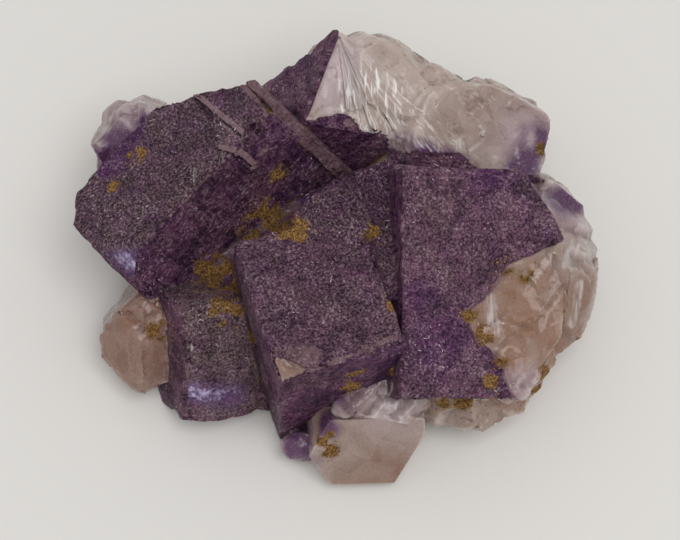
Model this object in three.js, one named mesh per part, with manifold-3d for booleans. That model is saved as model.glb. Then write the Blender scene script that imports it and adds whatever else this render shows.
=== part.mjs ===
// Fluorite specimen: violet cubes grown together, broken along their octahedral
// cleavage round the rim and lying on a flat broken base. Millimetres, +Z up,
// the viewer's side is -Y, and the origin is under the middle of the base.
import * as THREE from 'three';
import { mergeVertices } from 'three/addons/utils/BufferGeometryUtils.js';
import Module from 'manifold-3d';

const wasm = await Module();
wasm.setup();

// Driving dimensions
const REACH = 200; // larger than the specimen, for the half-spaces that cut it
const LUMP_DETAIL = 2; // how often the polyhedron behind a broken lump is divided
const NICK_SIZE = [0.4, 1.1]; // smallest and largest nick along a cube's edges
const NICKS_PER_CUBE = 14;
const RIDGE_RISE = 0.4; // of the feathered ridges on a large cleaved corner, at their lower ends
const RIDGE_WIDTH = 2.6;
const RIDGE_SPAN = [0.32, 1]; // shares of the cut's lower edge between which the ridges end
const LUMP_ROUGHNESS = 0.1; // share of a lump's radius by which its corners stand in or out
const LUMP_CLEAVAGE = [0.78, 0.97]; // where octahedral planes cut a lump, as shares of its reach

// The cubes, each in its own axes with z = 0 on the growth face that looks up at the viewer.
// at: a point on that face. turn: how far the face leans to the viewer and to the right, and its spin.
// from, to: the block's corners. cleaved: corners taken off along an octahedral plane, by the corner's
// signs and how far back the cut runs along the three edges, with ridges if it is feathered. plates: thin
// plates of parallel growth that stand proud of the block. hollows: shell-shaped breaks.
const CUBES = {
  west: {
    at: [-19.5, 4, 21],
    turn: [0, -27, 38.5],
    from: [-11.4, -2.6, -20],
    to: [15.2, 11, 0],
    cleaved: [
      { corner: [-1, 1, 1], back: [3.5, 3, 8] },
      { corner: [1, 1, 1], back: [9, 8, 30] },
      { corner: [-1, -1, 1], back: [4, 5, 4] },
    ],
    plates: [
      {
        from: [8.4, -3.2, -7],
        to: [15.2, 2.4, 0.6],
        cleaved: [{ corner: [-1, -1, 1], back: [1, 12, 0.8] }],
      },
      {
        from: [9.6, -2.6, -2],
        to: [15.2, 7.6, 1.2],
        cleaved: [{ corner: [-1, -1, 1], back: [1.6, 14, 1.2] }],
      },
      {
        from: [14.6, -3.1, -20],
        to: [16.4, 4, 1.5],
        cleaved: [{ corner: [-1, -1, 1], back: [1, 40, 4] }],
      },
    ],
  },
  north: {
    at: [0.8, 14.6, 26],
    turn: [-12.5, 42, 5],
    from: [0, 0, -14.5],
    to: [19, 10, 0],
    cleaved: [{ corner: [-1, -1, 1], back: [18, 9.5, 7.2], ridges: 8 }],
  },
  centre: {
    at: [-2, -9.5, 20],
    turn: [1, 1, 18],
    from: [-7.5, -8.5, -19],
    to: [8, 10, 0],
    cleaved: [{ corner: [-1, -1, 1], back: [5.5, 5, 1.8] }],
  },
  saddle: {
    at: [-0.1, 0.3, 21],
    turn: [18, -5, 38],
    from: [-4, -4.5, -10],
    to: [3.5, 4, 0],
    cleaved: [],
  },
  inner: {
    at: [5.8, 3.4, 20],
    turn: [26, -14, 20],
    from: [-4, -5, -10],
    to: [4, 4.5, 0],
    cleaved: [],
  },
  wedge: {
    at: [6, -3.5, 19],
    turn: [8, 6, 12],
    from: [-2.6, -5.5, -8],
    to: [3.2, 5, 0],
    cleaved: [],
  },
  east: {
    at: [15.5, -7.5, 19],
    turn: [24, 14, 0],
    from: [-8, -13, -15],
    to: [12, 14, 0],
    cleaved: [
      { corner: [1, 1, 1], back: [5.5, 8, 30] },
      { corner: [1, -1, 1], back: [5, 8, 20] },
    ],
    hollows: [
      { at: [7.5, -0.5, 2.4], half: [11, 8, 3.8], seed: 21 },
      { at: [10, -8, 2.4], half: [9, 8.4, 3.8], seed: 22 },
    ],
  },
  corner: {
    at: [-18, -9.2, 16],
    turn: [47, 24, 0],
    from: [0, -15, -14],
    to: [13, 0, 0],
    cleaved: [],
  },
  front: {
    at: [4.6, -20.3, 9.5],
    turn: [56, 3, 0],
    from: [-7.8, -9.3, -10],
    to: [6, 0, 0],
    cleaved: [
      { corner: [-1, 1, 1], back: [2.4, 5, 12] },
      { corner: [-1, -1, 1], back: [2.4, 4.3, 8] },
      { corner: [1, -1, 1], back: [3.6, 7, 8] },
    ],
  },
  frontShoulder: {
    at: [4.6, -20.3, 9.5],
    turn: [14, 2, -8],
    from: [-5, 0, -8],
    to: [6, 9, 0],
    cleaved: [
      { corner: [-1, 1, 1], back: [5, 8, 20] },
      { corner: [1, -1, 1], back: [2, 3, 10] },
    ],
  },
};

// Broken masses with no growth faces: centre, half sizes and turn. split: the cube whose large break runs on
// through them, and how far they stand proud of it.
const LUMPS = {
  core: { at: [1, 0, 3], half: [23, 17, 10], turn: [0, 0, 10], seed: 1 },
  northCrest: {
    at: [5, 21.7, 15.4],
    half: [9, 5.5, 8],
    turn: [0, 0, -20],
    seed: 4,
    split: { cube: 'north', proud: 0.8 },
  },
  northSaddle: {
    at: [10, 18.6, 13],
    half: [9, 6.4, 7.5],
    turn: [0, 0, -5],
    seed: 9,
    split: { cube: 'north', proud: 0.1 },
  },
  northBreak: {
    at: [14.3, 16, 11],
    half: [12.6, 8.6, 8.2],
    turn: [0, 0, 8],
    seed: 7,
    split: { cube: 'north', proud: 1.3 },
  },
  eastBreak: { at: [25, 0.5, 9], half: [7, 12.3, 9], turn: [0, 0, 5], seed: 5 },
  eastLens: { at: [20.5, -12.5, 9.9], half: [6.6, 5.2, 5.4], turn: [0, 0, 35], seed: 2 },
  westBreak: { at: [-23.8, 14.8, 12], half: [6.5, 6.4, 6.4], turn: [0, 0, 20], seed: 7 },
  cornerBreak: { at: [-22.8, -7.2, 5], half: [6, 7, 5.6], turn: [0, 0, 0], seed: 1 },
  frontBreak: { at: [15, -15, 6], half: [8.4, 4.8, 5], turn: [0, 0, -15], seed: 15 },
  frontChip: { at: [-4.3, -21, 3], half: [2.6, 2, 2.4], turn: [0, 0, 0], seed: 7 },
};

// Seeded numbers from 0 to 1
function randomFrom(seed) {
  let state = seed * 7919 + 17;
  return () => {
    state = (state * 16807) % 2147483647;
    return state / 2147483647;
  };
}

const mix = (low, high, share) => low + (high - low) * share;

// The eight directions square to an octahedron's faces
const OCTAHEDRAL = [-1, 1].flatMap((x) =>
  [-1, 1].flatMap((y) => [-1, 1].map((z) => new THREE.Vector3(x, y, z).normalize())),
);

// A closed geometry as a solid, joined at its shared corners
function solidOf(geometry) {
  const bare = geometry.clone();
  bare.deleteAttribute('normal');
  bare.deleteAttribute('uv');
  const merged = mergeVertices(bare, 1e-4);
  return new wasm.Manifold(
    new wasm.Mesh({
      numProp: 3,
      vertProperties: merged.attributes.position.array,
      triVerts: new Uint32Array(merged.index.array),
    }),
  );
}

// A solid's faces as a geometry
function geometryOf(solid) {
  const mesh = solid.getMesh();
  const geometry = new THREE.BufferGeometry();
  geometry.setAttribute('position', new THREE.BufferAttribute(mesh.vertProperties, mesh.numProp));
  geometry.setIndex(new THREE.BufferAttribute(mesh.triVerts, 1));
  return geometry.toNonIndexed();
}

function placement({ at, turn }) {
  const angles = turn.map(THREE.MathUtils.degToRad);
  const spin = new THREE.Quaternion().setFromEuler(new THREE.Euler(...angles, 'XYZ'));
  return new THREE.Matrix4().compose(new THREE.Vector3(...at), spin, new THREE.Vector3(1, 1, 1));
}

function block({ from, to }) {
  const size = to.map((high, i) => high - from[i]);
  const middle = to.map((high, i) => (high + from[i]) / 2);
  return new THREE.BoxGeometry(...size).translate(...middle);
}

// Everything on the outer side of a plane
function beyond(point, normal) {
  const spin = new THREE.Quaternion().setFromUnitVectors(new THREE.Vector3(0, 0, 1), normal);
  const half = new THREE.BoxGeometry(REACH, REACH, REACH).translate(0, 0, REACH / 2);
  return solidOf(half.applyQuaternion(spin).translate(point.x, point.y, point.z));
}

// A broken mass: a polyhedron whose corners stand in and out at random, split along octahedral planes
function lump({ half, seed }) {
  const random = randomFrom(seed);
  const ball = new THREE.IcosahedronGeometry(1, LUMP_DETAIL);
  ball.deleteAttribute('normal');
  ball.deleteAttribute('uv');
  const geometry = mergeVertices(ball, 1e-4);
  const corners = geometry.attributes.position;
  const corner = new THREE.Vector3();
  for (let i = 0; i < corners.count; i++) {
    corner.fromBufferAttribute(corners, i);
    corner.multiplyScalar(1 + LUMP_ROUGHNESS * (2 * random() - 1));
    corners.setXYZ(i, corner.x, corner.y, corner.z);
  }
  const reach = new THREE.Vector3(...half);
  return OCTAHEDRAL.reduce((solid, normal) => {
    const depth = normal.clone().multiply(reach).length() * mix(...LUMP_CLEAVAGE, random());
    return solid.subtract(beyond(normal.clone().multiplyScalar(depth), normal));
  }, solidOf(geometry.scale(...half)));
}

// Where an octahedral cut meets the three edges that run from a cube's corner
function cutPoints(cube, { corner, back }) {
  const tip = corner.map((sign, i) => (sign > 0 ? cube.to[i] : cube.from[i]));
  return back.map((length, axis) => {
    const point = new THREE.Vector3(...tip);
    return point.setComponent(axis, tip[axis] - corner[axis] * length);
  });
}

// Feathered ridges that fan out over a cleaved face from the top of the cut and end in a ledge
function feather(cube, cut) {
  const [far, top, near] = cutPoints(cube, cut);
  const random = randomFrom(cut.ridges);
  return Array.from({ length: cut.ridges }, (_, i) => {
    const foot = near.clone().lerp(far, mix(...RIDGE_SPAN, (i + 0.5) / cut.ridges));
    const end = top.clone().lerp(foot, mix(0.6, 0.98, random()));
    const along = top.clone().sub(end);
    const ridge = new THREE.ConeGeometry(1, along.length(), 4);
    ridge.scale(RIDGE_WIDTH / 2, 1, RIDGE_RISE);
    const spin = new THREE.Quaternion().setFromUnitVectors(new THREE.Vector3(0, 1, 0), along.normalize());
    const middle = top.clone().lerp(end, 0.5);
    return solidOf(ridge.applyQuaternion(spin).translate(middle.x, middle.y, middle.z));
  });
}

// Small octahedral nicks along a cube's edges
function nicks(cube, seed) {
  const random = randomFrom(seed);
  return Array.from({ length: NICKS_PER_CUBE }, () => {
    const along = Math.floor(random() * 3);
    const spot = cube.from.map((low, i) => {
      const share = random();
      return mix(low, cube.to[i], i === along ? share : Math.round(share));
    });
    const size = mix(...NICK_SIZE, random() ** 2);
    return solidOf(new THREE.OctahedronGeometry(size).translate(...spot));
  });
}

// The octahedral plane of a cut: a point on it and the direction out of what is left
function cutPlane(shape, cut) {
  const [point] = cutPoints(shape, cut);
  const normal = new THREE.Vector3(...cut.corner.map((sign, i) => sign / cut.back[i])).normalize();
  return { point, normal };
}

// Takes a block's corners off a solid along their octahedral planes
function cleave(solid, shape) {
  return shape.cleaved.reduce((rest, cut) => {
    const { point, normal } = cutPlane(shape, cut);
    const left = rest.subtract(beyond(point, normal));
    return cut.ridges ? feather(shape, cut).reduce((all, ridge) => all.add(ridge), left) : left;
  }, solid);
}

function cubeSolid(cube, index) {
  const plates = (cube.plates ?? []).map((plate) => cleave(solidOf(block(plate)), plate));
  let solid = cleave(plates.reduce((all, plate) => all.add(plate), solidOf(block(cube))), cube);
  for (const hollow of cube.hollows ?? []) {
    solid = solid.subtract(lump(hollow).translate(hollow.at));
  }
  solid = nicks(cube, index + 1).reduce((all, nick) => all.subtract(nick), solid);
  return solid.transform(placement(cube).elements);
}

function lumpSolid(mass) {
  const solid = lump(mass).transform(placement(mass).elements);
  if (!mass.split) return solid;
  const cube = CUBES[mass.split.cube];
  const { point, normal } = cutPlane(cube, cube.cleaved[0]);
  const place = placement(cube);
  point.addScaledVector(normal, mass.split.proud).applyMatrix4(place);
  return solid.subtract(beyond(point, normal.transformDirection(place)));
}

// The outermost surface alone: gaps shut in between the crystals are filled
function filled(solid) {
  return solid.decompose().reduce((most, shell) => (shell.volume() > most.volume() ? shell : most));
}

function cluster() {
  const cubes = Object.values(CUBES).map(cubeSolid);
  const lumps = Object.values(LUMPS).map(lumpSolid);
  const grown = [...cubes, ...lumps].reduce((all, solid) => all.add(solid));
  const underBase = beyond(new THREE.Vector3(0, 0, 0), new THREE.Vector3(0, 0, -1));
  return filled(grown.subtract(underBase));
}

const violetFluorite = new THREE.MeshStandardMaterial({ color: 0x4b3553, roughness: 0.45, metalness: 0 });

const specimen = new THREE.Group();
const crystals = new THREE.Mesh(geometryOf(cluster()), violetFluorite);
crystals.name = 'fluorite_cluster';
specimen.add(crystals);

export default specimen;
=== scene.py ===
"""A hand specimen of violet fluorite: cubes grown together, dusty on their growth faces, pale and glassy
where they are cleaved, with limonite in the crevices. It lies on a plain pale surface."""
import math
from itertools import product

import bmesh
import bpy
import numpy as np
from mathutils import Euler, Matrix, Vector


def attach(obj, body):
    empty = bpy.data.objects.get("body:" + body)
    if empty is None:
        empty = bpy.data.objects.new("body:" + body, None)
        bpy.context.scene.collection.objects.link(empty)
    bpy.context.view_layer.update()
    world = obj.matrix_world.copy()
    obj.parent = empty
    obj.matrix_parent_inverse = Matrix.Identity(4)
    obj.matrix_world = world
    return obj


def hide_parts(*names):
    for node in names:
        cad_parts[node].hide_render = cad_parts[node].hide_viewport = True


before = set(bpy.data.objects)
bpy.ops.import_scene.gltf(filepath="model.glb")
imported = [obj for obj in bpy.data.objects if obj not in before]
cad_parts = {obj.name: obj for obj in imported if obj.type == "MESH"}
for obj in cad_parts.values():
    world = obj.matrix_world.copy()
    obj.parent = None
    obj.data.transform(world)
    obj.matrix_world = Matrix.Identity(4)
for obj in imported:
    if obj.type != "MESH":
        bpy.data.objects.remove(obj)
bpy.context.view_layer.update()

MM = 0.001

# The cubes in millimetres: a point on the upper growth face, how the axes are turned in degrees, the lowest
# and highest corner in those axes, how dusty and how light the cube is, how far the violet reaches in under
# its growth faces before the inside is pale, and which faces are split off, counted from low x to high z
CRYSTALS = {
    "west": ((-19.5, 4, 21), (0, -27, 38.5), (-11.4, -2.6, -20), (15.2, 11, 0), 1.0, 0.2, 2.6, ()),
    "north": ((0.8, 14.6, 26), (-12.5, 42, 5), (0, 0, -14.5), (19, 10, 0), 0.1, 0.6, 0.4, (3, 4, 5)),
    "centre": ((-2, -9.5, 20), (1, 1, 18), (-7.5, -8.5, -19), (8, 10, 0), 0.62, 0.38, 0.7, ()),
    "saddle": ((-0.1, 0.3, 21), (18, -5, 38), (-4, -4.5, -10), (3.5, 4, 0), 0.9, 0.1, 0.9, ()),
    "inner": ((5.8, 3.4, 20), (26, -14, 20), (-4, -5, -10), (4, 4.5, 0), 0.6, 0.0, 0.9, ()),
    "wedge": ((6, -3.5, 19), (8, 6, 12), (-2.6, -5.5, -8), (3.2, 5, 0), 0.9, 0.3, 0.9, ()),
    "east": ((15.5, -7.5, 19), (24, 14, 0), (-8, -13, -15), (12, 14, 0), 0.45, 0.7, 1.6, (3,)),
    "corner": ((-18, -9.2, 16), (47, 24, 0), (0, -15, -14), (13, 0, 0), 1.3, 1.0, 0.9, ()),
}
# Thin plates of parallel growth on the west cube, in its axes: their broken edges are worn
WEST_PLATES = [
    ((8.4, -3.2, -7), (15.2, 2.4, 0.6)),
    ((9.6, -2.6, -2), (15.2, 7.6, 1.2)),
]
WEST_LEDGE = ((14.6, -3.1, -20), (16.4, 4, 1.5))  # the outermost plate, worn all along
PLATE_DEPTH = 0.45  # how far in the thin plates still keep their skin
ON_BOX = 0.08  # a point this near a cube or plate lies on it
OFF_BOX = 0.05  # a point this far from a cube lies beside it
# The rim of the break across the east cube's upper face, as its y and x from the near end to the far end
EAST_RIM_Y = (-13.2, -10.0, -7.4, -5.1, -2.7, -0.3, 2.6, 3.8, 5.6, 7.4)
EAST_RIM_X = (5.3, 3.9, 2.0, 0.0, -0.6, 3.9, 4.5, 7.6, 11.3, 12.5)
# The far end of the west cube's upper face, where no dust lies: from which y on, at each x
WEST_RIM_X = (-7.0, -4.7, -2.1, 1.4, 5.6)
WEST_RIM_Y = (14.0, 8.6, 7.1, 9.1, 11.5)
# Thin blades of growth on the west cube, from end to end: a pale edge with a painted shadow line beside it
BLADES = [((-17.0, 16.0, 23.0), (-10.9, 8.7, 26.2)), ((-14.0, 8.2, 23.8), (-9.2, 6.8, 21.4))]
BLADE_HEIGHT = 4  # how far above or below a blade its lines still show
FAR_OFF = 9.0  # stands for no blade near
# Worn edges and chips on the violet: spots, or stretches from end to end, and how far they spread
WORN = [
    ((1.6, 14.4, 19.0), 0.8), ((-8.7, 8.3, 23.0), 0.8), ((-12.6, 8.6, 24.9), 0.7),
    ((-1.8, -18.4, 19.8), (7.0, -14.2, 19.8), 0.4), ((-15.4, 3.7, 21.5), 0.8), ((-9.6, 7.2, 21.7), 0.7),
    ((-2.7, -16.6, 19.9), 1.5), ((-4.4, -16.8, 19.9), 1.7),
]
# Dust that clings to a steep face of the centre cube
CLINGING_DUST = [((-10.2, -8.8, 17.0), (-8.6, -13.8, 6.0), 5.0)]
CLINGING_FACE_X = -7  # points with a lower x, in the cube's axes, are on that face
# Other places with no dust on the violet
CLEAN = [((12.0, -14.0, 17.5), 4.0), ((9.5, -9.0, 20.0), 2.5), ((18.0, 5.0, 23.0), 3.0)]

# The pale block at the front, in the same terms as the cubes: its cleaved faces stay flat and sharp
FRONT_BLOCK = ((4.6, -20.3, 9.5), (56, 3, 0), (-7.8, -9.3, -10), (6, 0, 0))
FRONT_CHIP = ((-4.3, -21.5, 4.0), 3.0)  # the small chip beside it, and how far its sharp corners reach
# Breaks of the east cube that are smoother than the others
CALM_BREAKS = [((21.0, -8.0, 16.5), 7.0), ((22.0, -13.0, 13.5), 5.0)]

# The feathered break of the north cube, in its axes: the point it fans out from, and two of its lower edge
FAN_TOP = (0, 9.5, 0)
FAN_NEAR = (0, 0, -7.2)
FAN_FAR = (18, 0, 0)
FAN_SPAN = (0.5, 1.4)  # the angles between which it is feathered, from the near edge, in radians
# How far from the top the violet begins again, by the angle round the fan
FAN_RIM_ANGLE = (0.03, 0.15, 0.48, 0.56, 0.63, 0.73, 0.91, 1.07, 1.2)
FAN_RIM_REACH = (11.6, 10.7, 9.7, 10.3, 11.9, 14.0, 16.5, 18.7, 21.2)
FAN_BARE_FROM = 0.85  # from this angle on, no skin is left above that rim

# Limonite: where it sits, in millimetres, and how far it spreads
LIMONITE = [
    ((-23.9, 10.0, 18.8), 1.1), ((-26.7, 6.5, 17.3), 0.7), ((-7.0, 8.2, 17.2), 1.2),
    ((-8.6, 4.0, 12.3), 2.8), ((-5.1, -0.9, 20.2), 1.6), ((4.8, -1.1, 21.0), 1.3),
    ((5.9, -0.9, 15.9), 2.0), ((-16.1, -0.7, 10.4), 1.3), ((-14.7, -1.0, 10.2), 2.0),
    ((-13.0, -3.2, 10.5), 2.6), ((-13.0, -7.9, 14.0), 1.8), ((6.5, -10.2, 19.8), 0.7),
    ((20.0, -4.4, 17.6), 1.0), ((22.4, -4.6, 16.2), 1.1), ((15.7, -10.5, 17.6), 1.0),
    ((17.5, -12.4, 16.3), 1.1), ((19.3, -14.6, 13.9), 1.1), ((18.3, -17.2, 13.9), 0.9),
    ((-1.3, -21.9, 7.6), 1.1), ((-0.7, -22.9, 6.2), 1.0), ((1.7, -17.1, 11.9), 1.3),
    ((2.4, -16.9, 14.8), 1.0), ((12.2, -18.8, 9.6), 1.2), ((15.1, -18.8, 9.8), 1.2),
    ((18.1, -18.6, 10.4), 1.2), ((-21.3, -9.2, 10.1), 1.3), ((25.8, 14.9, 11.8), 1.0),
    ((24.8, -15.4, 11.3), 1.1), ((23.7, -16.6, 8.8), 1.3),
]
# Violet that runs on into the broken masses: where, and how far it spreads
VIOLET_ZONES = [
    ((25.0, 15.8, 12.4), (22.8, 12.0, 11.4), 2.4), ((-27.6, 11.5, 14.8), 3.4), ((-25.6, 12.8, 16.8), 2.6),
    ((-22.8, 14.6, 18.4), 2.4), ((-21.0, 15.5, 20.0), 2.0), ((-24.0, -3.6, 15.8), 3.6),
    ((-4.3, -21.5, 4.0), 3.0), ((28.6, 6.8, 13.8), (26.4, 4.6, 16.8), 2.3), ((1.0, -18.0, 11.0), 2.4),
    ((8.1, -16.9, 15.5), 2.0), ((20.6, 1.0, 20.6), 2.5), ((-28.2, 11.9, 14.4), 2.6),
    ((-14.0, -1.5, 10.4), 3.0), ((8.4, 12.6, 16.1), (14.5, 11.0, 14.6), 2.0), ((-1.0, -20.5, 8.5), 2.0),
    ((-26.5, 12.6, 16.6), 3.4), ((-7.4, 4.3, 12.5), (0.5, 11.0, 11.5), 4.0),
    ((-13.4, -2.5, 10.5), (-7.4, 4.3, 12.5), 4.0),
]
# Tea-brown and amber stain in the pale inside
TEA_ZONES = [
    ((-24.5, -8.2, 7.5), 8.0), ((-5.0, -17.0, 19.6), 2.8), ((28.5, -6.0, 13.0), 3.5),
    ((27.0, -10.0, 9.0), 4.0), ((6.0, -27.0, 3.5), 4.8),
]
AMBER_ZONES = [
    ((22.8, -13.0, 14.0), 6.0), ((19.5, -9.5, 16.5), 4.5), ((24.0, -15.0, 9.0), 6.0),
    ((23.0, -6.5, 15.6), 4.5),
]
# White healed cracks in the pale inside, from end to end, and how wide they spread
HEALED_CRACKS = [
    ((28.6, -0.2, 16.0), (27.2, -3.6, 16.9), 0.9), ((29.0, -5.5, 15.3), (28.1, -9.2, 12.6), 0.8),
    ((18.3, -8.6, 17.4), (18.6, -11.6, 15.9), 1.2), ((21.5, -17.0, 12.6), (21.9, -16.2, 12.8), 0.4),
    ((5.2, -18.8, 9.8), (9.0, -18.0, 9.0), 0.7), ((6.0, -17.2, 10.4), (8.0, -16.0, 12.5), 0.7),
    ((-5.9, -18.2, 18.9), (-5.6, -18.4, 18.7), 0.4), ((22.0, 3.0, 21.9), (22.1, 2.9, 21.8), 0.3),
    ((-22.0, 16.8, 17.6), (-24.5, 15.6, 17.6), 0.8), ((-16.6, 6.2, 22.5), (-16.6, 4.0, 22.3), 0.2),
    ((-17.3, -12.0, 12.4), (-17.0, -12.4, 12.0), 0.3), ((21.0, -8.5, 16.6), (22.2, -9.6, 16.0), 0.3),
]
# Clean faces with a painted sheen and painted glints on them: a stretch of each, how far it spreads, and
# which way the face looks
SHEEN_FACES = [
    (((-25.0, -2.2, 17.2), (-23.0, -4.2, 16.8), 2.4), (-0.44, -0.77, 0.47)),
    (((-16.8, -16.2, 7.6), (-12.2, -15.4, 5.4), 1.9), (0.41, -0.67, 0.62)),
    (((-4.6, -22.3, 4.7), (-4.0, -22.3, 4.7), 1.4), (0.0, -0.7, 0.7)),
]
# Lilac breath in the pale inside
LILAC_ZONES = [
    ((-25.0, 16.0, 16.0), 6.0), ((-0.7, 17.0, 21.3), (1.0, 21.0, 23.0), 2.4), ((6.5, -17.5, 11.0), 4.5),
    ((-4.3, -21.5, 4.0), 3.0), ((28.0, 5.0, 15.0), 5.0), ((23.5, 15.5, 13.0), 4.5),
    ((22.2, -17.2, 12.6), 2.4),
]
# Where more splinters lie
SPLINTERY = [
    ((11.8, -14.3, 17.0), 3.0), ((9.5, -5.0, 20.5), 3.0), ((-13.5, 9.5, 23.8), 2.0),
    ((-16.0, 4.5, 22.0), 1.6), ((-7.0, -2.5, 20.5), 2.0), ((-15.0, -9.0, 12.5), 2.5),
]
# Dark green grains at the rim
GREEN_SPOTS = [((15.8, 23.7, 14.1), 0.9), ((25.9, 14.9, 11.2), 0.7)]

SKIN_EDGE = 0.8  # longest edge of the finished mesh on the growth faces
BREAK_EDGE = 0.55  # the same on the breaks
BASE_EDGE = 2.5  # the same on the flat underside
CLEAVAGE = np.array(list(product((-1, 1), repeat=3))) / math.sqrt(3)  # the ways an octahedron's faces look
CLEAVAGE_STEP = 1.7  # height of the steps on a break
BLOCK_AXES = ((0, 0, 0), (40, 25, 30))  # how the small blocks lie that the breaks are split into
UNEVEN = (0.6, 1.3)  # how much smaller and larger each side of a crumb may be
LEAN = 0.5  # how far a crumb may lean, in radians
FLUORITE_IOR = 1.434
FLOOR_DROP = -0.02 * MM  # the surface lies a hair below the specimen
SEED = 11


def to_linear(code):
    """An sRGB hex colour as linear red, green, blue and alpha."""
    parts = [int(code[i:i + 2], 16) / 255 for i in (1, 3, 5)]
    return tuple(c / 12.92 if c <= 0.04045 else ((c + 0.055) / 1.055) ** 2.4 for c in parts) + (1.0,)


def smooth(low, high, value):
    """0 up to low, 1 from high, and a smooth step between."""
    share = np.clip((value - low) / (high - low), 0, 1)
    return share * share * (3 - 2 * share)


def random_values(cells, seed):
    """A random value from -1 to 1 for each cell of a grid: its place, mixed by large primes."""
    x, y, z = cells.T
    mixed = (x * 73856093) ^ (y * 19349663) ^ (z * 83492791) ^ (seed * 2654435761)
    mixed = (mixed ^ (mixed >> 13)) * 1274126177
    return ((mixed ^ (mixed >> 16)) & 0xFFFF) / 0x7FFF - 1


def wander(points, size, seed):
    """Smooth random values from -1 to 1 that change over size millimetres."""
    cell = points / size
    corner = np.floor(cell).astype(np.int64)
    share = cell - corner
    share = share * share * (3 - 2 * share)
    total = np.zeros(len(points))
    for step in product((0, 1), repeat=3):
        total += random_values(corner + step, seed) * np.prod(np.where(step, share, 1 - share), axis=1)
    return total


def growth_steps(own, size, seed):
    """Low square steps from -1 to 1, as cube faces grow, with edges that waver."""
    cells = np.floor(own / size + 0.25 * wander(own, 1.5, seed)[:, None])
    return random_values(cells.astype(np.int64), seed)


def crystal_axes(turn):
    """Turned axes, as the columns of a matrix."""
    return np.array(Euler([math.radians(a) for a in turn], "ZYX").to_matrix())


def box_distance(local, low, high):
    """Signed distance to a box: negative inside."""
    low, high = np.array(low), np.array(high)
    over = np.abs(local - (low + high) / 2) - (high - low) / 2
    return np.linalg.norm(np.maximum(over, 0), axis=1) + np.minimum(over.max(axis=1), 0)


def near(points, zones):
    """How close points lie to any of the zones, from 0 to 1: spots, or stretches between two ends."""
    share = np.zeros(len(points))
    for start, *end, reach in zones:
        start = np.array(start)
        along = np.array(end[0]) - start if end else np.zeros(3)
        part = np.clip((points - start) @ along / max(along @ along, 1e-9), 0, 1)
        away = np.linalg.norm(points - start - part[:, None] * along, axis=1) / reach
        share = np.maximum(share, np.exp(-away * away))
    return share


def merged_cad(node):
    """The points, in millimetres, and the triangles of a CAD node, its flat faces in well-shaped ones."""
    shape = bmesh.new()
    shape.from_mesh(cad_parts[node].data)
    bmesh.ops.remove_doubles(shape, verts=shape.verts, dist=1e-6)
    bmesh.ops.dissolve_limit(shape, angle_limit=math.radians(0.5), verts=shape.verts, edges=shape.edges)
    bmesh.ops.triangulate(shape, faces=shape.faces, quad_method="BEAUTY", ngon_method="BEAUTY")
    points = np.array([v.co for v in shape.verts]) / MM
    faces = np.array([[v.index for v in f.verts] for f in shape.faces])
    shape.free()
    return points, faces


def edges_of(faces):
    """The edges of triangles, each once, and which edge each side of each triangle is."""
    sides = np.sort(faces[:, [[0, 1], [1, 2], [2, 0]]].reshape(-1, 2), axis=1)
    count = faces.max() + 1
    keys, side_edge = np.unique(sides[:, 0] * count + sides[:, 1], return_inverse=True)
    return np.stack([keys // count, keys % count], axis=1), side_edge


def split_long_edges(points, faces):
    """Halves every edge that is too long, until none is, and keeps the surface closed."""
    while True:
        edges, side_edge = edges_of(faces)
        ends = points[edges]
        length = np.linalg.norm(ends[:, 0] - ends[:, 1], axis=1)
        long = length > SKIN_EDGE
        fair = ~long & (length > BREAK_EDGE)
        middle = ends[fair].mean(axis=1)
        long[fair] = growth(middle, np.zeros_like(middle))[0] < 0.5
        long = np.where(ends[:, :, 2].max(axis=1) < 0.01, length > BASE_EDGE, long)
        if not long.any():
            return points, faces
        halfway = np.full(len(edges), -1)
        halfway[long] = len(points) + np.arange(long.sum())
        points = np.vstack([points, ends[long].mean(axis=1)])
        middles = halfway[side_edge].reshape(-1, 3)
        split = middles >= 0
        count = split.sum(axis=1)
        # Each triangle is turned so that one split side comes first, or the one whole side last
        first = np.where(count == 1, split.argmax(axis=1), (split.argmin(axis=1) + 1) % 3)
        order = (first[:, None] + np.arange(3)) % 3
        a, b, c = np.take_along_axis(faces, order, axis=1).T
        ab, bc, ca = np.take_along_axis(middles, order, axis=1).T
        one, two, three = count == 1, count == 2, count == 3
        faces = np.vstack([
            faces[count == 0],
            np.stack([a, ab, c], axis=1)[one],
            np.stack([ab, b, c], axis=1)[one],
            np.stack([ab, b, bc], axis=1)[two],
            np.stack([a, ab, bc], axis=1)[two],
            np.stack([a, bc, c], axis=1)[two],
            np.stack([a, ab, ca], axis=1)[three],
            np.stack([ab, b, bc], axis=1)[three],
            np.stack([ca, bc, c], axis=1)[three],
            np.stack([ab, bc, ca], axis=1)[three],
        ])


def point_normals(points, faces):
    """Which way the surface faces at each point."""
    a, b, c = (points[faces[:, i]] for i in range(3))
    across = np.cross(b - a, c - a)
    normals = np.zeros_like(points)
    for i in range(3):
        np.add.at(normals, faces[:, i], across)
    return normals / np.maximum(np.linalg.norm(normals, axis=1), 1e-12)[:, None]


def drawn_in(points, faces, share, rounds):
    """Draws points towards their neighbours, each by its share, as often as told: corners round off."""
    a, b = edges_of(faces)[0].T
    ends = np.concatenate([a, b])
    neighbours = np.bincount(ends, minlength=len(points))[:, None]
    for _ in range(rounds):
        around = np.concatenate([points[b], points[a]])
        total = np.stack([np.bincount(ends, around[:, i], len(points)) for i in range(3)], axis=1)
        points = points + 0.6 * share[:, None] * (total / neighbours - points)
    return points


def in_axes(points, at, turn):
    """Points as places in turned axes."""
    return (points - np.array(at)) @ crystal_axes(turn)


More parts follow.
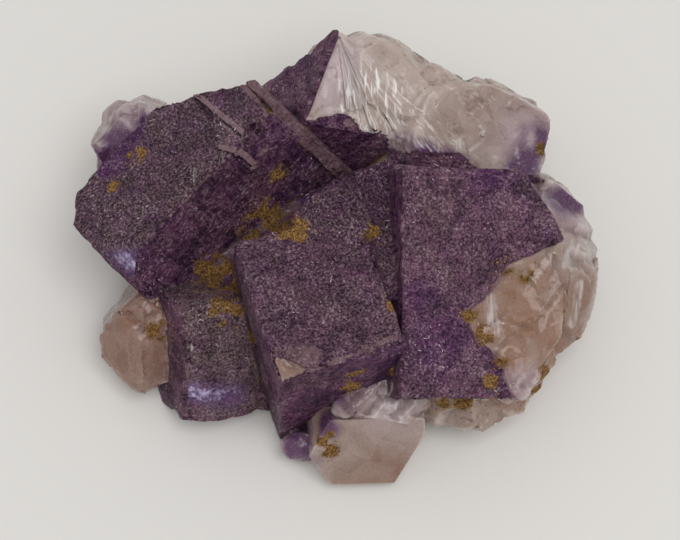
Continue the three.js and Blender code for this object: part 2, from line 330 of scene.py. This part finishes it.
def growth(points, normals):
    """What each point is on: violet skin or pale inside, how dusty, worn, light and clean it is, and its
    place in its crystal's axes."""
    skin, dust, worn, tone, clean = np.zeros((5, len(points)))
    own = points.copy()
    for name, (at, turn, low, high, dusty, light, depth, lost) in CRYSTALS.items():
        local = in_axes(points, at, turn)
        away = box_distance(local, low, high)
        under = np.concatenate([local - np.array(low), np.array(high) - local], axis=1)
        under[:, lost] = depth
        here = np.where(away < ON_BOX, 1 - smooth(0.15, depth, under.min(axis=1)), 0)
        rub, bare = np.zeros((2, len(points)))
        if name == "west":
            plate = np.minimum.reduce([box_distance(local, *corners) for corners in WEST_PLATES])
            on_plate = (plate < ON_BOX) & (away > OFF_BOX)
            on_ledge = (box_distance(local, *WEST_LEDGE) < ON_BOX) & (away > OFF_BOX)
            rub = np.where(on_ledge, 1, np.where(on_plate, smooth(0.1, PLATE_DEPTH, -plate), 0))
            here = np.where(on_plate | on_ledge, 1, here)
            bare = smooth(-0.6, 0.6, local[:, 1] - np.interp(local[:, 0], WEST_RIM_X, WEST_RIM_Y))
        if name == "north":
            _, on_break, angle, reach = feathering(points)
            rim = np.interp(angle, FAN_RIM_ANGLE, FAN_RIM_REACH)
            past = reach - rim + 0.3 * wander(points, 0.9, SEED + 25)
            strip = on_break * smooth(-0.3, 0.3, past) * (1 - smooth(4, 5, past))
            strip = strip * (angle > 0) * (angle < FAN_RIM_ANGLE[-1])
            bared = (on_break > 0.5) & (past < 0) & (angle > FAN_BARE_FROM)
            here = np.where(bared, 0, np.maximum(here, strip))
        if name == "east":
            rim = np.interp(local[:, 1], EAST_RIM_Y, EAST_RIM_X) + 0.5 * wander(points, 1.3, SEED + 20)
            here = here * (1 - smooth(-0.6, 1.6, local[:, 0] - rim))
        more = here > skin
        own[more] = local[more]
        dust[more] = dusty * smooth(0.15, 0.75, normals[more, 2])
        worn[more] = rub[more]
        clean[more] = bare[more]
        tone[more] = light
        skin = np.maximum(skin, here)
    clean = np.maximum(clean, near(points, CLEAN))
    worn = np.maximum(worn, near(points, WORN))
    clinging = 0.85 * near(points, CLINGING_DUST) * (own[:, 0] < CLINGING_FACE_X)
    dust = np.minimum(np.maximum(dust, clinging), 1) * skin * (1 - 0.9 * clean)
    return skin, dust, worn, tone, clean, own


def beside_blades(points):
    """How far points lie beside the nearest blade of the west cube, in millimetres, or far off."""
    up = crystal_axes(CRYSTALS["west"][1])[:, 2]
    beside = np.full(len(points), FAR_OFF)
    for start, end in np.array(BLADES):
        along = end - start
        side = np.cross(along, up) / np.linalg.norm(np.cross(along, up))
        part = (points - start) @ along / (along @ along)
        here = (points - start) @ side
        level = np.abs((points - start) @ up) < BLADE_HEIGHT
        closer = (part > 0) & (part < 1) & (np.abs(here) < np.abs(beside)) & level
        beside = np.where(closer, here, beside)
    return beside


def feathering(points):
    """Where points lie on the north cube's feathered break: how surely they are feathered, how surely they
    are on it at all, how far round the fan and how far from its top."""
    at, turn, *_ = CRYSTALS["north"]
    local = in_axes(points, at, turn)
    top, near_edge, far_edge = (np.array(p, float) for p in (FAN_TOP, FAN_NEAR, FAN_FAR))
    across = np.cross(near_edge - top, far_edge - top)
    across /= np.linalg.norm(across)
    first = (near_edge - top) / np.linalg.norm(near_edge - top)
    x, y = (local - top) @ first, (local - top) @ np.cross(across, first)
    angle, reach = np.arctan2(y, x), np.hypot(x, y)
    on_break = 1 - smooth(1.6, 2.2, np.abs((local - top) @ across))
    begins, ends = FAN_SPAN
    inside = smooth(begins - 0.08, begins + 0.06, angle) * (1 - smooth(ends - 0.3, ends, angle))
    return on_break * inside * (1 - smooth(17, 21, reach)), on_break, angle, reach


def standing_out(points, faces, normals, rounds):
    """How far points stand out of the surface round them, in millimetres: less than 0 in hollows."""
    return ((points - drawn_in(points, faces, np.ones(len(points)), rounds)) * normals).sum(axis=1)


def stepped(points, faces, depth):
    """Draws points onto steps of the cleavage plane that the surface round them faces, as deep as told."""
    normals = drawn_in(point_normals(points, faces), faces, np.ones(len(points)), 12)
    facing = CLEAVAGE[(normals @ CLEAVAGE.T).argmax(axis=1)]
    height = (points * facing).sum(axis=1) / CLEAVAGE_STEP + 0.22 * wander(points, 5.0, SEED + 23)
    move = np.floor(height) + smooth(0.4, 0.6, height - np.floor(height)) - height
    return points + facing * (move * depth)[:, None]


def stains_and_painted_sheen(points, normals, hollow):
    """How far each mineral and stain, and the painted sheen, cover points."""
    in_hollows = 0.7 * hollow * smooth(0.1, 0.6, wander(points, 2.6, SEED + 1))
    limonite = near(points, LIMONITE) * smooth(-0.6, 0.3, wander(points, 0.8, SEED))
    flames = wander(points * np.array([1, 0.5, 0.5]), 1.6, SEED + 2)
    tea = smooth(0.05, 0.75, near(points, TEA_ZONES)) * smooth(-1.4, 0.0, wander(points, 3.0, SEED + 3))
    sheen = [near(points, [zone]) * smooth(0.8, 0.95, normals @ np.array(way)) for zone, way in SHEEN_FACES]
    return {
        "limonite": np.maximum(limonite, in_hollows),
        "violet": near(points, VIOLET_ZONES) * smooth(-1.4, 0.1, flames),
        "tea": tea,
        "amber": smooth(0.1, 0.7, near(points, AMBER_ZONES)),
        "lilac": near(points, LILAC_ZONES),
        "white": near(points, HEALED_CRACKS),
        "sheen": np.maximum.reduce(sheen),
        "green": near(points, GREEN_SPOTS),
    }


def grown_relief(points, own, wear):
    """Relief of the growth faces in millimetres: square steps, striae, swells, and chips out of edges."""
    steps = growth_steps(own, np.array([3.4, 2.6, 3.0]), SEED + 6) + 0.6 * growth_steps(own, 1.4, SEED + 17)
    striae = wander(own * np.array([1, 1, 0.08]), 0.9, SEED + 7)
    small_chips = smooth(0.0, 0.45, wander(points, 1.7, SEED + 10))
    chips = small_chips + 0.8 * smooth(0.1, 0.5, wander(points, 4.0, SEED + 15))
    return (0.09 * steps + 0.25 * wander(points, 6.0, SEED + 16) + 0.16 * wander(points, 2.4, SEED + 8)
            + 0.09 * wander(points, 1.1, SEED + 9) + 0.05 * striae - 0.8 * wear * chips)


def broken_relief(points, fan, on_break, fan_angle, fan_reach, calm):
    """Relief of the breaks in millimetres: swells, small blocks, and the feathers of the north break."""
    swells = 0.2 * wander(points, 5.5, SEED + 11) * (1 - on_break) + 0.05 * wander(points, 1.0, SEED + 13)
    blocks = growth_steps(in_axes(points, *BLOCK_AXES), np.array([2.4, 1.7, 2.0]), SEED + 26)
    spokes = np.stack([fan_angle * 16, fan_reach * 0.1, np.zeros(len(points))], axis=1)
    feathers = fan * smooth(3, 8, fan_reach) * 0.2 * np.abs(wander(spokes, 1.0, SEED + 14))
    return swells + 0.13 * blocks * (1 - fan) * (1 - 0.6 * calm) + feathers


def fluorite_crystals():
    """The whole cluster as one fine mesh, with the relief of its growth faces and breaks."""
    points, faces = split_long_edges(*merged_cad("fluorite_cluster"))
    normals = point_normals(points, faces)
    skin, dust, worn, tone, clean, own = growth(points, normals)
    fan, on_break, fan_angle, fan_reach = feathering(points)
    at, turn, *corners = FRONT_BLOCK
    on_block = 1 - smooth(0.05, 0.2, box_distance(in_axes(points, at, turn), *corners))
    above_base = smooth(0.1, 1.5, points[:, 2])
    bulge = standing_out(points, faces, normals, 10)
    wear = smooth(0.04, 0.3, bulge) * skin
    calm = near(points, CALM_BREAKS)

    # The broken masses lose their sharpest corners and growth faces their edges, then the breaks are stepped
    broken = (1 - skin) * (1 - on_block)
    soft = np.maximum(0.5 * broken * (1 + on_break), 0.15) * above_base * (1 - near(points, [FRONT_CHIP]))
    points = drawn_in(points, faces, soft, 7)
    depth = 0.55 * CLEAVAGE_STEP * broken * (1 - on_break) * (1 - 0.85 * calm) * above_base
    points = stepped(points, faces, depth)
    normals = point_normals(points, faces)

    specks = skin * smooth(0.0, 0.6, normals[:, 2]) * smooth(-0.1, 0.6, wander(points, 2.8, SEED + 22))
    # Where painted highlights streak the north break
    streaks = on_break * (1 - skin) * smooth(4, 8, fan_reach) * (1 - smooth(19, 23, fan_reach))
    streaks *= smooth(0.3, 0.5, fan_angle) * (1 - smooth(1.15, 1.35, fan_angle))
    streaks *= smooth(-0.6, 0.3, wander(points, 3.0, SEED + 24))
    marks = {
        "skin": skin, "dust": dust, "wear": wear, "worn": worn, "tone": tone, "clean": clean,
        "specks": specks, "splintery": specks * (0.1 + 2 * near(points, SPLINTERY)),
        "split": on_break * (1 - 0.8 * smooth(14, 19, fan_reach)), "feather": fan * smooth(2.5, 7, fan_reach),
        "streaks": streaks, "fan_angle": fan_angle, "fan_reach": fan_reach,
    }
    marks |= stains_and_painted_sheen(points, normals, smooth(0.05, 0.35, -bulge))

    grown = grown_relief(points, own, wear)
    split = broken_relief(points, fan, on_break, fan_angle, fan_reach, calm)
    points = points + normals * ((grown * skin + split * broken) * above_base)[:, None]
    # Painted highlight along the ridges of the breaks and painted shade in their clefts
    ridge = standing_out(points, faces, normals, 3) * (1 - skin)
    marks |= {"painted_ridge_light": smooth(0.015, 0.08, ridge), "painted_cleft_shade": smooth(0.015, 0.08, -ridge)}
    marks |= {"blade": beside_blades(points)}

    mesh = bpy.data.meshes.new("fluorite_crystals")
    mesh.from_pydata((points * MM).tolist(), [], faces.tolist())
    for name, values in marks.items():
        mesh.attributes.new(name, "FLOAT", "POINT").data.foreach_set("value", values.astype(np.float32))
    places = mesh.attributes.new("own", "FLOAT_VECTOR", "POINT")
    places.data.foreach_set("vector", (own * MM).astype(np.float32).ravel())
    mesh.shade_smooth()
    mesh.set_sharp_from_angle(angle=math.radians(35))
    crystals = bpy.data.objects.new("fluorite_crystals", mesh)
    bpy.context.scene.collection.objects.link(crystals)
    return crystals


def fill(tree, node, inputs):
    """Gives a node's inputs values or links, by name or number, or in order."""
    for key, value in inputs.items() if isinstance(inputs, dict) else enumerate(inputs):
        if isinstance(value, bpy.types.NodeSocket):
            tree.links.new(value, node.inputs[key])
        else:
            node.inputs[key].default_value = value


def add(tree, kind, inputs=(), **settings):
    """Adds a node with its settings, values and links, and returns its outputs."""
    made = tree.nodes.new(kind)
    for name, value in settings.items():
        setattr(made, name, value)
    fill(tree, made, inputs)
    return made.outputs


def new_material(name):
    """A material, its nodes and its shader."""
    material = bpy.data.materials.new(name)
    material.use_nodes = True
    return material, material.node_tree, material.node_tree.nodes["Principled BSDF"]


def per_metre(size_mm):
    """A texture's scale for a pattern of that size."""
    return 1 / (size_mm * MM)


def scattered(host, name, mask, per_mm2, sizes, shape, material, seed):
    """Crumbs that lie on the crystals as thickly as a mask says, as one mesh."""
    tree = bpy.data.node_groups.new(name, "GeometryNodeTree")
    given = {
        "Crumbs per square metre": per_mm2 / MM ** 2, "Smallest": sizes[0] * MM, "Largest": sizes[1] * MM,
        "Seed": seed,
    }
    tree.interface.new_socket(name="Geometry", in_out="INPUT", socket_type="NodeSocketGeometry")
    sockets = {
        label: tree.interface.new_socket(
            name=label, in_out="INPUT", socket_type="NodeSocketInt" if label == "Seed" else "NodeSocketFloat")
        for label in given
    }
    tree.interface.new_socket(name="Geometry", in_out="OUTPUT", socket_type="NodeSocketGeometry")
    inputs = add(tree, "NodeGroupInput")
    cover = add(tree, "GeometryNodeInputNamedAttribute", {"Name": mask}, data_type="FLOAT")["Attribute"]
    density = add(tree, "ShaderNodeMath", (cover, inputs["Crumbs per square metre"]), operation="MULTIPLY")[0]
    spread = add(tree, "GeometryNodeDistributePointsOnFaces", {
        "Mesh": inputs["Geometry"], "Density": density, "Seed": inputs["Seed"]})
    crumb = add(tree, "GeometryNodeMeshIcoSphere", {"Radius": 0.5, "Subdivisions": 1})["Mesh"]
    size = add(tree, "FunctionNodeRandomValue", {
        2: inputs["Smallest"], 3: inputs["Largest"], "Seed": inputs["Seed"]}, data_type="FLOAT")[1]
    low, high = ([side * k for side in shape] for k in UNEVEN)
    form = add(tree, "FunctionNodeRandomValue", (low, high), data_type="FLOAT_VECTOR")[0]
    scale = add(tree, "ShaderNodeVectorMath", {0: form, "Scale": size}, operation="SCALE")[0]
    spin = add(tree, "FunctionNodeRandomValue", (
        (-LEAN, -LEAN, 0), (LEAN, LEAN, math.tau)), data_type="FLOAT_VECTOR")[0]
    turn = add(tree, "FunctionNodeEulerToRotation", (spin,))[0]
    turn = add(tree, "FunctionNodeRotateRotation", {
        "Rotation": spread["Rotation"], "Rotate By": turn}, rotation_space="LOCAL")[0]
    laid = add(tree, "GeometryNodeInstanceOnPoints", {
        "Points": spread["Points"], "Instance": crumb, "Rotation": turn, "Scale": scale})[0]
    shade = add(tree, "FunctionNodeRandomValue", {2: 0.0, 3: 1.0, "Seed": 5}, data_type="FLOAT")[1]
    laid = add(tree, "GeometryNodeStoreNamedAttribute", {
        "Geometry": laid, "Name": "shade", "Value": shade}, data_type="FLOAT", domain="INSTANCE")[0]
    joined = add(tree, "GeometryNodeRealizeInstances", {"Geometry": laid})[0]
    joined = add(tree, "GeometryNodeSetMaterial", {"Geometry": joined, "Material": material})[0]
    add(tree, "NodeGroupOutput", {"Geometry": joined})

    crumbs = bpy.data.objects.new(name, host.data)
    bpy.context.scene.collection.objects.link(crumbs)
    modifier = crumbs.modifiers.new(name, "NODES")
    modifier.node_group = tree
    for label, value in given.items():
        modifier[sockets[label].identifier] = value
    graph = bpy.context.evaluated_depsgraph_get()
    mesh = bpy.data.meshes.new_from_object(
        crumbs.evaluated_get(graph), preserve_all_data_layers=True, depsgraph=graph)
    crumbs.modifiers.clear()
    crumbs.data = mesh
    return crumbs


def crumb_material(name, dark, light, roughness):
    """Loose powder and grit, each crumb in a shade of its own."""
    material, tree, shader = new_material(name)
    shade = add(tree, "ShaderNodeAttribute", attribute_name="shade")["Fac"]
    colour = add(tree, "ShaderNodeMix", {
        0: shade, 6: to_linear(dark), 7: to_linear(light)}, data_type="RGBA")[2]
    fill(tree, shader, {"Base Color": colour, "Roughness": roughness})
    return material


def grown_and_cleaved_fluorite():
    """Fluorite, grown as cubes and cleaved: violet skin under grey dust, full of small pits, over a pale
    milky inside that takes light in, glassy where it split, with ochre stain where limonite lies."""
    material, tree, shader = new_material("grown_and_cleaved_fluorite")
    place = add(tree, "ShaderNodeTexCoord")["Object"]
    own = add(tree, "ShaderNodeAttribute", attribute_name="own")["Vector"]
    skin, dust, wear, worn, tone, clean = (
        add(tree, "ShaderNodeAttribute", attribute_name=name)["Fac"]
        for name in ("skin", "dust", "wear", "worn", "tone", "clean"))
    limonite, violet, tea, amber, lilac, white, sheen, green = (
        add(tree, "ShaderNodeAttribute", attribute_name=name)["Fac"]
        for name in ("limonite", "violet", "tea", "amber", "lilac", "white", "sheen", "green"))
    split, feather, streaks, painted_ridge_light, painted_cleft_shade, blade, fan_angle, fan_reach = (
        add(tree, "ShaderNodeAttribute", attribute_name=name)["Fac"]
        for name in ("split", "feather", "streaks", "painted_ridge_light", "painted_cleft_shade", "blade", "fan_angle", "fan_reach"))

    def share(*factors):
        """How far something shows: the product of masks, numbers, and patterns mapped between values."""
        total = None
        for factor in factors:
            if isinstance(factor, tuple):
                factor = add(tree, "ShaderNodeMapRange", factor)[0]
            if total is not None:
                factor = add(tree, "ShaderNodeMath", (total, factor), operation="MULTIPLY")[0]
            total = factor
        return total

    def torn(mask, by, low, high):
        """A soft mask with a ragged edge, to be mapped as a factor of a share."""
        ragged = add(tree, "ShaderNodeMath", (film, by, mask), operation="MULTIPLY_ADD")[0]
        return ragged, low + by / 2, high + by / 2

    def layered(base, layers):
        """Colours laid on a base, each as far as the factors after it say."""
        colour = to_linear(base) if isinstance(base, str) else base
        for top, *factors in layers:
            top = to_linear(top) if isinstance(top, str) else top
            colour = add(tree, "ShaderNodeMix", {0: share(*factors), 6: colour, 7: top}, data_type="RGBA")[2]
        return colour

    # Striae run down the growth faces, and the painted highlight streaks of the north break back and a little
    # to the right
    drawn_out = add(tree, "ShaderNodeVectorMath", (own, (1.0, 1.0, 0.07)), operation="MULTIPLY")[0]
    along_streaks = add(tree, "ShaderNodeMapping", {
        "Vector": place, "Rotation": (0, 0, math.radians(23)), "Scale": (1.0, 0.16, 0.16)})[0]
    # Place, size in millimetres, detail, roughness and distortion. Specks of dust and pores of the pale
    # inside are finer than a pixel, and are drawn as flecks and grains of 0.3 and 0.24 mm so that they show
    crust, film, fleck, grain, veils, patches, zones, crinkle, striae, glassy = (
        add(tree, "ShaderNodeTexNoise", {
            "Vector": where, "Scale": per_metre(size), "Detail": detail, "Roughness": rough,
            "Distortion": bend})[0]
        for where, size, detail, rough, bend in (
            (place, 4, 8, 0.72, 0.0),  # crust
            (own, 2.6, 9, 0.74, 0.0),  # film of dust
            (own, 0.3, 3, 0.6, 0.5),  # flecks
            (place, 0.24, 2, 0.6, 0.0),  # grains
            (place, 5, 5, 0.5, 0.8),  # veils in the pale inside
            (own, 3.2, 3, 0.6, 1.0),  # patches of the skin
            (place, 7, 3, 0.6, 0.6),  # zones of growth
            (own, 0.9, 3, 0.6, 0.8),  # crinkles of the skin
            (drawn_out, 0.6, 4, 0.5, 0.0),  # striae
            (along_streaks, 0.5, 2, 0.5, 0.0),  # streaks, for the painted highlights and the healed cracks
        ))
    pits = add(tree, "ShaderNodeTexVoronoi", {"Vector": place, "Scale": per_metre(0.9)})[0]
    bent = add(tree, "ShaderNodeTexNoise", {"Vector": place, "Scale": per_metre(1.6), "Detail": 3})["Color"]
    bent = add(tree, "ShaderNodeVectorMath", (bent, (0.8 * MM,) * 3, place), operation="MULTIPLY_ADD")[0]
    facets = add(tree, "ShaderNodeTexVoronoi", {"Vector": bent, "Scale": per_metre(2.4)})["Color"]
    # Feathers fan out, 40 to the radian and each about 3.6 mm long
    spokes = add(tree, "ShaderNodeCombineXYZ", (share(fan_angle, 40.0), share(fan_reach, 0.28)))[0]
    ribs = add(tree, "ShaderNodeTexNoise", {"Vector": spokes, "Scale": 1.0, "Detail": 4})[0]

    rim = share(torn(skin, 0.5, 0.38, 0.62))
    light = add(tree, "ShaderNodeMath", (tone, 0.16, crust), operation="MULTIPLY_ADD")[0]
    dust_cover = share(dust, (film, 0.37, 0.57, 0.1, 1.0))
    on_dust = share((dust, 0.0, 0.5, 0.75, 1.0))
    frayed = add(tree, "ShaderNodeMath", (film, 0.7, blade), operation="MULTIPLY_ADD")[0]
    ochre_cover = share(torn(limonite, 1.0, 0.14, 0.4))
    lighter = share((fleck, 0.42, 0.66))
    dust_colour = layered("#3d2b33", [("#6c565d", lighter)])
    ochre_colour = layered("#583c22", [("#a68048", lighter)])

    grown = layered("#3c173b", (
        ("#6f4163", (light, 0.4, 0.7)),  # crust
        ("#4a2252", (zones, 0.5, 0.62, 0.0, 0.6)),  # deep violet zones
        ("#5a3b44", (zones, 0.36, 0.48, 0.5, 0.0)),  # brownish zones
        ("#2c1a3a", (patches, 0.36, 0.46, 0.65, 0.0)),  # blue-black patches
        ("#88606e", (patches, 0.54, 0.68, 0.0, 0.6), (tone, 0.2, 0.7, 0.3, 1.0)),  # plum patches
        ("#745268", (striae, 0.5, 0.7, 0.0, 0.75)),
        # painted shade at the bottoms of the small pits
        ("#22101f", (pits, 0.05, 0.3, 0.75, 0.0)),
        ("#54285c", clean, 0.6),  # clean faces
        (dust_colour, dust_cover),
        ("#7e6a6a", dust_cover, tone, 0.5),  # paler dust on lighter cubes
        ("#836a72", wear, (film, 0.4, 0.6, 0.0, 0.6)),  # rubbed edges
        ("#1c0a19", (fleck, 0.38, 0.53, 0.9, 0.0), (patches, 0.4, 0.6, 1.0, 0.4)),  # dark flecks
        ("#7c6066", torn(worn, 1.7, 0.4, 0.7), 0.75),  # worn spots
        ("#1c0a19", (crinkle, 0.56, 0.6), (crinkle, 0.6, 0.64, 1.0, 0.0), 0.75),  # dark creases
        ("#8c7077", (frayed, -0.3, -0.2), (frayed, 0.33, 0.4, 0.8, 0.0)),  # pale edge of a blade
        ("#1c0a19", (frayed, 0.33, 0.4), (frayed, 0.62, 0.75, 0.9, 0.0)),  # painted shadow line beside it
        ("#9a828c", (fleck, 0.54, 0.7, 0.0, 0.65), (patches, 0.42, 0.6, 0.12, 1.0), on_dust),  # light flecks
        ("#ac969f", (crinkle, 0.46, 0.5), (crinkle, 0.5, 0.54, 1.0, 0.0), (fleck, 0.42, 0.58),
         (patches, 0.42, 0.58, 0.1, 0.7), on_dust),  # light creases
        ("#66497a", torn(sheen, 1.6, 0.25, 1.0), (fleck, 0.36, 0.6, 0.35, 0.8)),  # painted sheen
        ("#c6bbdc", torn(sheen, 2.4, 0.82, 1.1), (striae, 0.4, 0.6, 0.1, 0.85)),  # painted glints in the painted sheen
    ))
    cleaved = layered("#998071", (
        ("#bfada4", (veils, 0.35, 0.68, 0.0, 0.7)),
        ("#8f6a5a", tea),
        ("#946a50", amber, (veils, 0.4, 0.66, 1.0, 0.5)),
        ("#b9a3b2", lilac, 0.7),
        ("#d5c9c4", (facets, 0.3, 0.7, 0.0, 0.08), (split, 0.0, 1.0, 1.0, 0.2)),  # paler facets
        ("#d6cbc7", split, 0.3),  # the north break
        # painted shade in the clefts of the breaks
        ("#7e6462", painted_cleft_shade, 0.45),
        # painted highlight on the ridges of the breaks
        ("#e6dfdc", painted_ridge_light, (veils, 0.42, 0.62, 0.06, 0.5), (tea, 0.0, 0.5, 1.0, 0.1)),
        ("#76526a", (skin, 0.02, 0.5, 0.0, 0.45)),  # violet that fades inwards
        ("#603a62", torn(violet, 0.9, 0.15, 0.75)),
        ("#d2c4c0", (grain, 0.5, 0.75, 0.0, 0.2)),  # light grains
        ("#6e5650", (grain, 0.25, 0.45, 0.18, 0.0)),  # dark grains
        ("#96847c", (ribs, 0.32, 0.46, 0.7, 0.0), feather, 0.4),  # painted shade between feathers
        # painted highlight on the ribs of the feathers
        ("#f0e9e6", (ribs, 0.54, 0.7), feather),
        # painted highlights streaking the north break
        ("#fbf8f8", (glassy, 0.56, 0.66), streaks),
    ))
    colour = layered(cleaved, (
        (grown, rim),
        ("#dcd4d4", torn(white, 1.3, 0.4, 0.7), (glassy, 0.42, 0.58, 0.12, 0.7)),  # healed cracks
        (ochre_colour, ochre_cover),
        ("#2a3024", green),
    ))

    roughness = share((rim, 0.0, 1.0, 0.2, 0.42))
    roughness = add(tree, "ShaderNodeMath", (dust_cover, 0.35, roughness), operation="MULTIPLY_ADD")[0]
    roughness = add(tree, "ShaderNodeMix", {0: ochre_cover, 2: roughness, 3: 0.95})[0]

    height = add(tree, "ShaderNodeMath", (crust, 2.0, pits), operation="MULTIPLY_ADD")[0]
    height = add(tree, "ShaderNodeMath", (fleck, 0.8, height), operation="MULTIPLY_ADD")[0]
    height = share(height, (rim, 0.0, 1.0, 0.12, 1.0))
    height = add(tree, "ShaderNodeMath", (ribs, share(feather, 0.6), height), operation="MULTIPLY_ADD")[0]
    bump = add(tree, "ShaderNodeBump", {"Strength": 0.8, "Distance": 0.35 * MM, "Height": height})[0]
    # Each facet of a break leans its own way, and catches the light by itself
    lean = add(tree, "ShaderNodeVectorMath", (facets, (0.5, 0.5, 0.5)), operation="SUBTRACT")[0]
    lean = add(tree, "ShaderNodeVectorMath", {
        0: lean, "Scale": share((rim, 0.0, 1.0, 0.4, 0.0))}, operation="SCALE")[0]
    leaning = add(tree, "ShaderNodeVectorMath", (bump, lean), operation="ADD")[0]
    normal = add(tree, "ShaderNodeVectorMath", (leaning,), operation="NORMALIZE")[0]

    fill(tree, shader, {
        "Base Color": colour,
        "Roughness": roughness,
        "Normal": normal,
        "Subsurface Weight": share((rim, 0.0, 1.0, 0.5, 0.05)),
        "Subsurface Radius": (1.0, 0.8, 0.72),
        "Subsurface Scale": 1.8 * MM,
        "Transmission Weight": share((rim, 0.0, 0.3, 0.22, 0.0), (split, 0.0, 1.0, 1.0, 0.3)),
        "Coat Weight": share((rim, 0.0, 0.3, 0.7, 0.0), (ochre_cover, 0.0, 0.5, 1.0, 0.0)),
        "Coat Roughness": 0.08,
        "Coat IOR": FLUORITE_IOR,
        "IOR": FLUORITE_IOR,
        "Specular IOR Level": 0.2,  # crust and tiny pits swallow most of the gloss
    })
    return material


def pale_surface():
    """Matt white laminate under the specimen: even and soft."""
    material, tree, shader = new_material("matt_white_laminate")
    fill(tree, shader, {"Base Color": to_linear("#e0dedb"), "Roughness": 0.8})
    mesh = bpy.data.meshes.new("floor")
    corners = [(x, y, FLOOR_DROP) for x, y in ((-2, -2), (2, -2), (2, 2), (-2, 2))]
    mesh.from_pydata(corners, [], [(0, 1, 2, 3)])
    mesh.materials.append(material)
    floor = bpy.data.objects.new("floor", mesh)
    bpy.context.scene.collection.objects.link(floor)


def soft_light():
    """A wide soft light from above, a little to the front and right, and pale light from all round."""
    world = bpy.data.worlds.new("studio")
    bpy.context.scene.world = world
    world.use_nodes = True
    background = world.node_tree.nodes["Background"]
    background.inputs["Color"].default_value = to_linear("#fffefc")
    background.inputs["Strength"].default_value = 0.61
    lamp = bpy.data.lights.new("window", "AREA")
    lamp.shape = "SQUARE"
    lamp.size = 1.1
    lamp.energy = 13.0
    light = bpy.data.objects.new("window", lamp)
    light.location = (0.35, -0.55, 1.6)
    light.rotation_euler = (-light.location).to_track_quat("-Z", "Y").to_euler()
    bpy.context.scene.collection.objects.link(light)


def photo_camera():
    """Looks down on the specimen from the front at 64 degrees, with the photograph's frame."""
    aim = Vector((0.5, -1.9, 12.0)) * MM
    elevation = math.radians(64)
    distance = 300 * MM
    frame_width = 81.9 * MM
    data = bpy.data.cameras.new("camera")
    data.sensor_width = 36
    data.lens = 36 * distance / frame_width
    camera = bpy.data.objects.new("camera", data)
    back = Vector((0, -math.cos(elevation), math.sin(elevation)))
    camera.location = aim + back * distance
    camera.rotation_euler = (-back).to_track_quat("-Z", "Y").to_euler()
    bpy.context.scene.collection.objects.link(camera)
    bpy.context.scene.camera = camera


photo_camera()
soft_light()
pale_surface()
bpy.context.scene.view_settings.view_transform = "Standard"

crystals = fluorite_crystals()
# Limonite is an earthy powder: it swallows all gloss
ochre = crumb_material("powdery_limonite", "#5f4429", "#ab834c", 0.95)
# Rock dust is fine grit: grey, and nearly as matt
grey_dust = crumb_material("rock_dust", "#5f5056", "#b9adb0", 0.8)
# Cleavage flakes are small and flat: pale, with a little shine
pale_flakes = crumb_material("cleavage_flakes", "#85767d", "#d9d0d3", 0.5)
# Crumbs: where they lie, how many to a square millimetre, least and largest size in millimetres, their form,
# material and seed
crumbs = [
    scattered(crystals, "limonite_crumbs", "limonite", 24.0, (0.06, 0.26), (1, 1, 0.7), ochre, 3),
    scattered(crystals, "dust_grains", "specks", 1.8, (0.06, 0.22), (1, 1, 0.5), grey_dust, 4),
    scattered(crystals, "splinters", "splintery", 2.4, (0.2, 0.7), (1, 0.14, 0.09), pale_flakes, 5),
]
crystals.data.materials.append(grown_and_cleaved_fluorite())
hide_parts("fluorite_cluster")
for piece in (crystals, *crumbs):
    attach(piece, "root")
